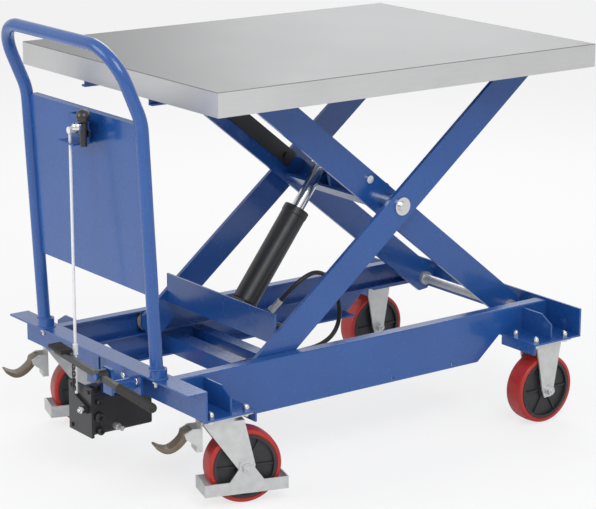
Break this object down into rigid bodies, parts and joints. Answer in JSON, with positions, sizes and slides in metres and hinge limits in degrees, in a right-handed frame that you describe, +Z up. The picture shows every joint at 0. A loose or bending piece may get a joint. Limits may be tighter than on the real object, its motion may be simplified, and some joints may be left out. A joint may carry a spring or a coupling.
{
  "type": "mobile scissor lift table",
  "caption": "Mobile hydraulic scissor lift table: steel deck on crossed arms with a foot pump, push handle, fixed and braked swivel casters.",
  "frame": {"origin": "floor point under the middle of the cart's overall footprint", "axes": "+X from the push handle to the fixed casters, +Y to the right across the cart, +Z up"},
  "size_m": [1.454, 0.9524, 1.2],
  "materials": {
    "blue_enamel": "gloss enamel",
    "stainless": "brushed",
    "black_paint": "satin",
    "chrome": "polished",
    "zinc_plate": "bright zinc",
    "tyre_red": "satin polyurethane",
    "wheel_black": "moulded",
    "nylon": "satin",
    "rubber_black": "matte",
    "brake_bronze": "satin",
    "knob_black": "polished",
    "white_rod": "satin"
  },
  "bodies": {
    "base frame": {"side_rails": "blue_enamel", "crossbeam": "blue_enamel", "end_plate": "blue_enamel", "caster_mounting_plates": "blue_enamel", "gussets": "blue_enamel", "crossbars": "blue_enamel", "hinge_shaft": "zinc_plate", "push_handle": "blue_enamel", "handle_sockets": "blue_enamel", "rear_panel": "blue_enamel", "release_bracket": "blue_enamel", "pump_body": "black_paint", "pump_plate": "black_paint", "pump_bracket": "blue_enamel", "caster_top_plates": "zinc_plate", "cap_nuts": "chrome", "fixed_forks": "zinc_plate", "fixed_axles": "zinc_plate"},
    "inner arms": {"inner_arms": "blue_enamel", "inner_arm_pins": "chrome", "torque_plate": "blue_enamel", "safety_bar": "black_paint"},
    "outer arms": {"outer_arms": "blue_enamel", "lower_roller_pins": "zinc_plate", "lower_cross_plate": "blue_enamel", "cylinder_foot_pin": "black_paint"},
    "deck": {"deck_sheet": "stainless", "deck_frame": "blue_enamel", "deck_hinges": "blue_enamel"},
    "cylinder": {"cylinder_barrel": "black_paint", "cylinder_gland": "black_paint", "hose_fitting": "zinc_plate"},
    "piston rod": {"piston_rod": "chrome"},
    "hose": {"hydraulic_hose": "rubber_black"},
    "pedal": {"pedal_arm": "black_paint", "pedal_grip": "rubber_black", "pedal_pad": "rubber_black"},
    "release lever": {"release_lever": "knob_black", "release_knob": "knob_black"},
    "release rod": {"release_rod": "white_rod"},
    "release arm": {"release_arm": "black_paint"},
    "lower roller left": {"lower_roller_left": "nylon"},
    "upper roller left": {"upper_roller_left": "nylon"},
    "fixed wheel left": {"fixed_wheel_core_left": "wheel_black", "fixed_tyre_left": "tyre_red"},
    "swivel left": {"swivel_fork_left": "zinc_plate", "foot_guard_left": "zinc_plate"},
    "swivel wheel left": {"swivel_wheel_core_left": "wheel_black", "swivel_tyre_left": "tyre_red"},
    "brake pedal left": {"brake_pedal_left": "brake_bronze"},
    "lower roller right": {"lower_roller_right": "nylon"},
    "upper roller right": {"upper_roller_right": "nylon"},
    "fixed wheel right": {"fixed_wheel_core_right": "wheel_black", "fixed_tyre_right": "tyre_red"},
    "swivel right": {"swivel_fork_right": "zinc_plate", "foot_guard_right": "zinc_plate"},
    "swivel wheel right": {"swivel_wheel_core_right": "wheel_black", "swivel_tyre_right": "tyre_red"},
    "brake pedal right": {"brake_pedal_right": "brake_bronze"}
  },
  "joints": [
    {"name": "lift", "type": "hinge", "parent": "base frame", "child": "inner arms", "pos_m": [0.675, 0.0022, 0.286], "axis": [0, 1, 0], "range_deg": [-25.1, 0]},
    {"name": "scissor_pivot", "type": "hinge", "parent": "inner arms", "child": "outer arms", "pos_m": [0.21092, 0.0022, 0.66314], "axis": [0, 1, 0], "range_deg": [-0.5, 50.7]},
    {"name": "deck_hinge", "type": "hinge", "parent": "outer arms", "child": "deck", "pos_m": [0.675, 0.0022, 1.04029], "axis": [0, 1, 0], "range_deg": [-25.6, 0.5]},
    {"name": "cylinder_foot", "type": "hinge", "parent": "outer arms", "child": "cylinder", "pos_m": [-0.14082, 0.0022, 0.36183], "axis": [0, 1, 0], "range_deg": [-1.5, 0.5]},
    {"name": "piston_slide", "type": "slide", "parent": "cylinder", "child": "piston rod", "axis": [0.6009, 0, 0.7993], "range_m": [-0.09663, 0.002]},
    {"name": "hose_flex", "type": "hinge", "parent": "base frame", "child": "hose", "pos_m": [-0.3753, 0.0022, 0.83083], "axis": [0, 1, 0], "range_deg": [-0.3, 24.21], "deforming": ["hydraulic_hose"]},
    {"name": "lower_roller_left_spin", "type": "hinge", "parent": "outer arms", "child": "lower roller left", "pos_m": [-0.25315, 0.0022, 0.286], "axis": [0, 1, 0], "continuous": true},
    {"name": "upper_roller_left_spin", "type": "hinge", "parent": "inner arms", "child": "upper roller left", "pos_m": [-0.25315, 0.0022, 1.04029], "axis": [0, 1, 0], "continuous": true},
    {"name": "fixed_wheel_left_spin", "type": "hinge", "parent": "base frame", "child": "fixed wheel left", "pos_m": [0.627, -0.38479, 0.1], "axis": [0, 1, 0], "continuous": true},
    {"name": "swivel_left_turn", "type": "hinge", "parent": "base frame", "child": "swivel left", "pos_m": [-0.471, -0.38479, 0], "axis": [0, 0, 1], "continuous": true},
    {"name": "swivel_wheel_left_spin", "type": "hinge", "parent": "swivel left", "child": "swivel wheel left", "pos_m": [-0.41362, -0.40234, 0.1], "axis": [0.2924, 0.9563, 0], "continuous": true},
    {"name": "brake_pedal_left_press", "type": "hinge", "parent": "swivel left", "child": "brake pedal left", "pos_m": [-0.55133, -0.36024, 0.199], "axis": [0.2924, 0.9563, 0], "range_deg": [-12, 0]},
    {"name": "lower_roller_right_spin", "type": "hinge", "parent": "outer arms", "child": "lower roller right", "pos_m": [-0.25315, 0.0022, 0.286], "axis": [0, 1, 0], "continuous": true},
    {"name": "upper_roller_right_spin", "type": "hinge", "parent": "inner arms", "child": "upper roller right", "pos_m": [-0.25315, 0.0022, 1.04029], "axis": [0, 1, 0], "continuous": true},
    {"name": "fixed_wheel_right_spin", "type": "hinge", "parent": "base frame", "child": "fixed wheel right", "pos_m": [0.627, 0.38921, 0.1], "axis": [0, 1, 0], "continuous": true},
    {"name": "swivel_right_turn", "type": "hinge", "parent": "base frame", "child": "swivel right", "pos_m": [-0.471, 0.38921, 0], "axis": [0, 0, 1], "continuous": true},
    {"name": "swivel_wheel_right_spin", "type": "hinge", "parent": "swivel right", "child": "swivel wheel right", "pos_m": [-0.41362, 0.37166, 0.1], "axis": [0.2924, 0.9563, 0], "continuous": true},
    {"name": "brake_pedal_right_press", "type": "hinge", "parent": "swivel right", "child": "brake pedal right", "pos_m": [-0.55133, 0.41376, 0.199], "axis": [0.2924, 0.9563, 0], "range_deg": [-12, 0]},
    {"name": "pedal_rock", "type": "hinge", "parent": "base frame", "child": "pedal", "pos_m": [-0.707, -0.19379, 0.334], "axis": [1, 0, 0], "range_deg": [-11, 0], "stiffness_Nm_per_rad": 12, "springref_deg": 14.32},
    {"name": "lever_turn", "type": "hinge", "parent": "base frame", "child": "release lever", "pos_m": [-0.677, -0.05779, 0.939], "axis": [1, 0, 0], "range_deg": [0, 22], "stiffness_Nm_per_rad": 1.5, "springref_deg": -17.19},
    {"name": "release_rod_lift", "type": "slide", "parent": "base frame", "child": "release rod", "axis": [0, 0, 1], "range_m": [-0.0005, 0.01317]},
    {"name": "release_arm_turn", "type": "hinge", "parent": "base frame", "child": "release arm", "pos_m": [-0.661, -0.0618, 0.203], "axis": [1, 0, 0], "range_deg": [-0.5, 20]}
  ],
  "couplings": [
    {"joint": "scissor_pivot", "follows": "lift", "ratio": -2},
    {"joint": "deck_hinge", "follows": "lift", "ratio": 1},
    {"joint": "cylinder_foot", "follows": "lift", "ratio": 0.045},
    {"joint": "piston_slide", "follows": "lift", "m_per_rad": 0.216},
    {"joint": "hose_flex", "follows": "lift", "ratio": -0.955},
    {"joint": "release_rod_lift", "follows": "lever_turn", "m_per_rad": 0.033},
    {"joint": "release_arm_turn", "follows": "lever_turn", "ratio": 0.8651}
  ]
}
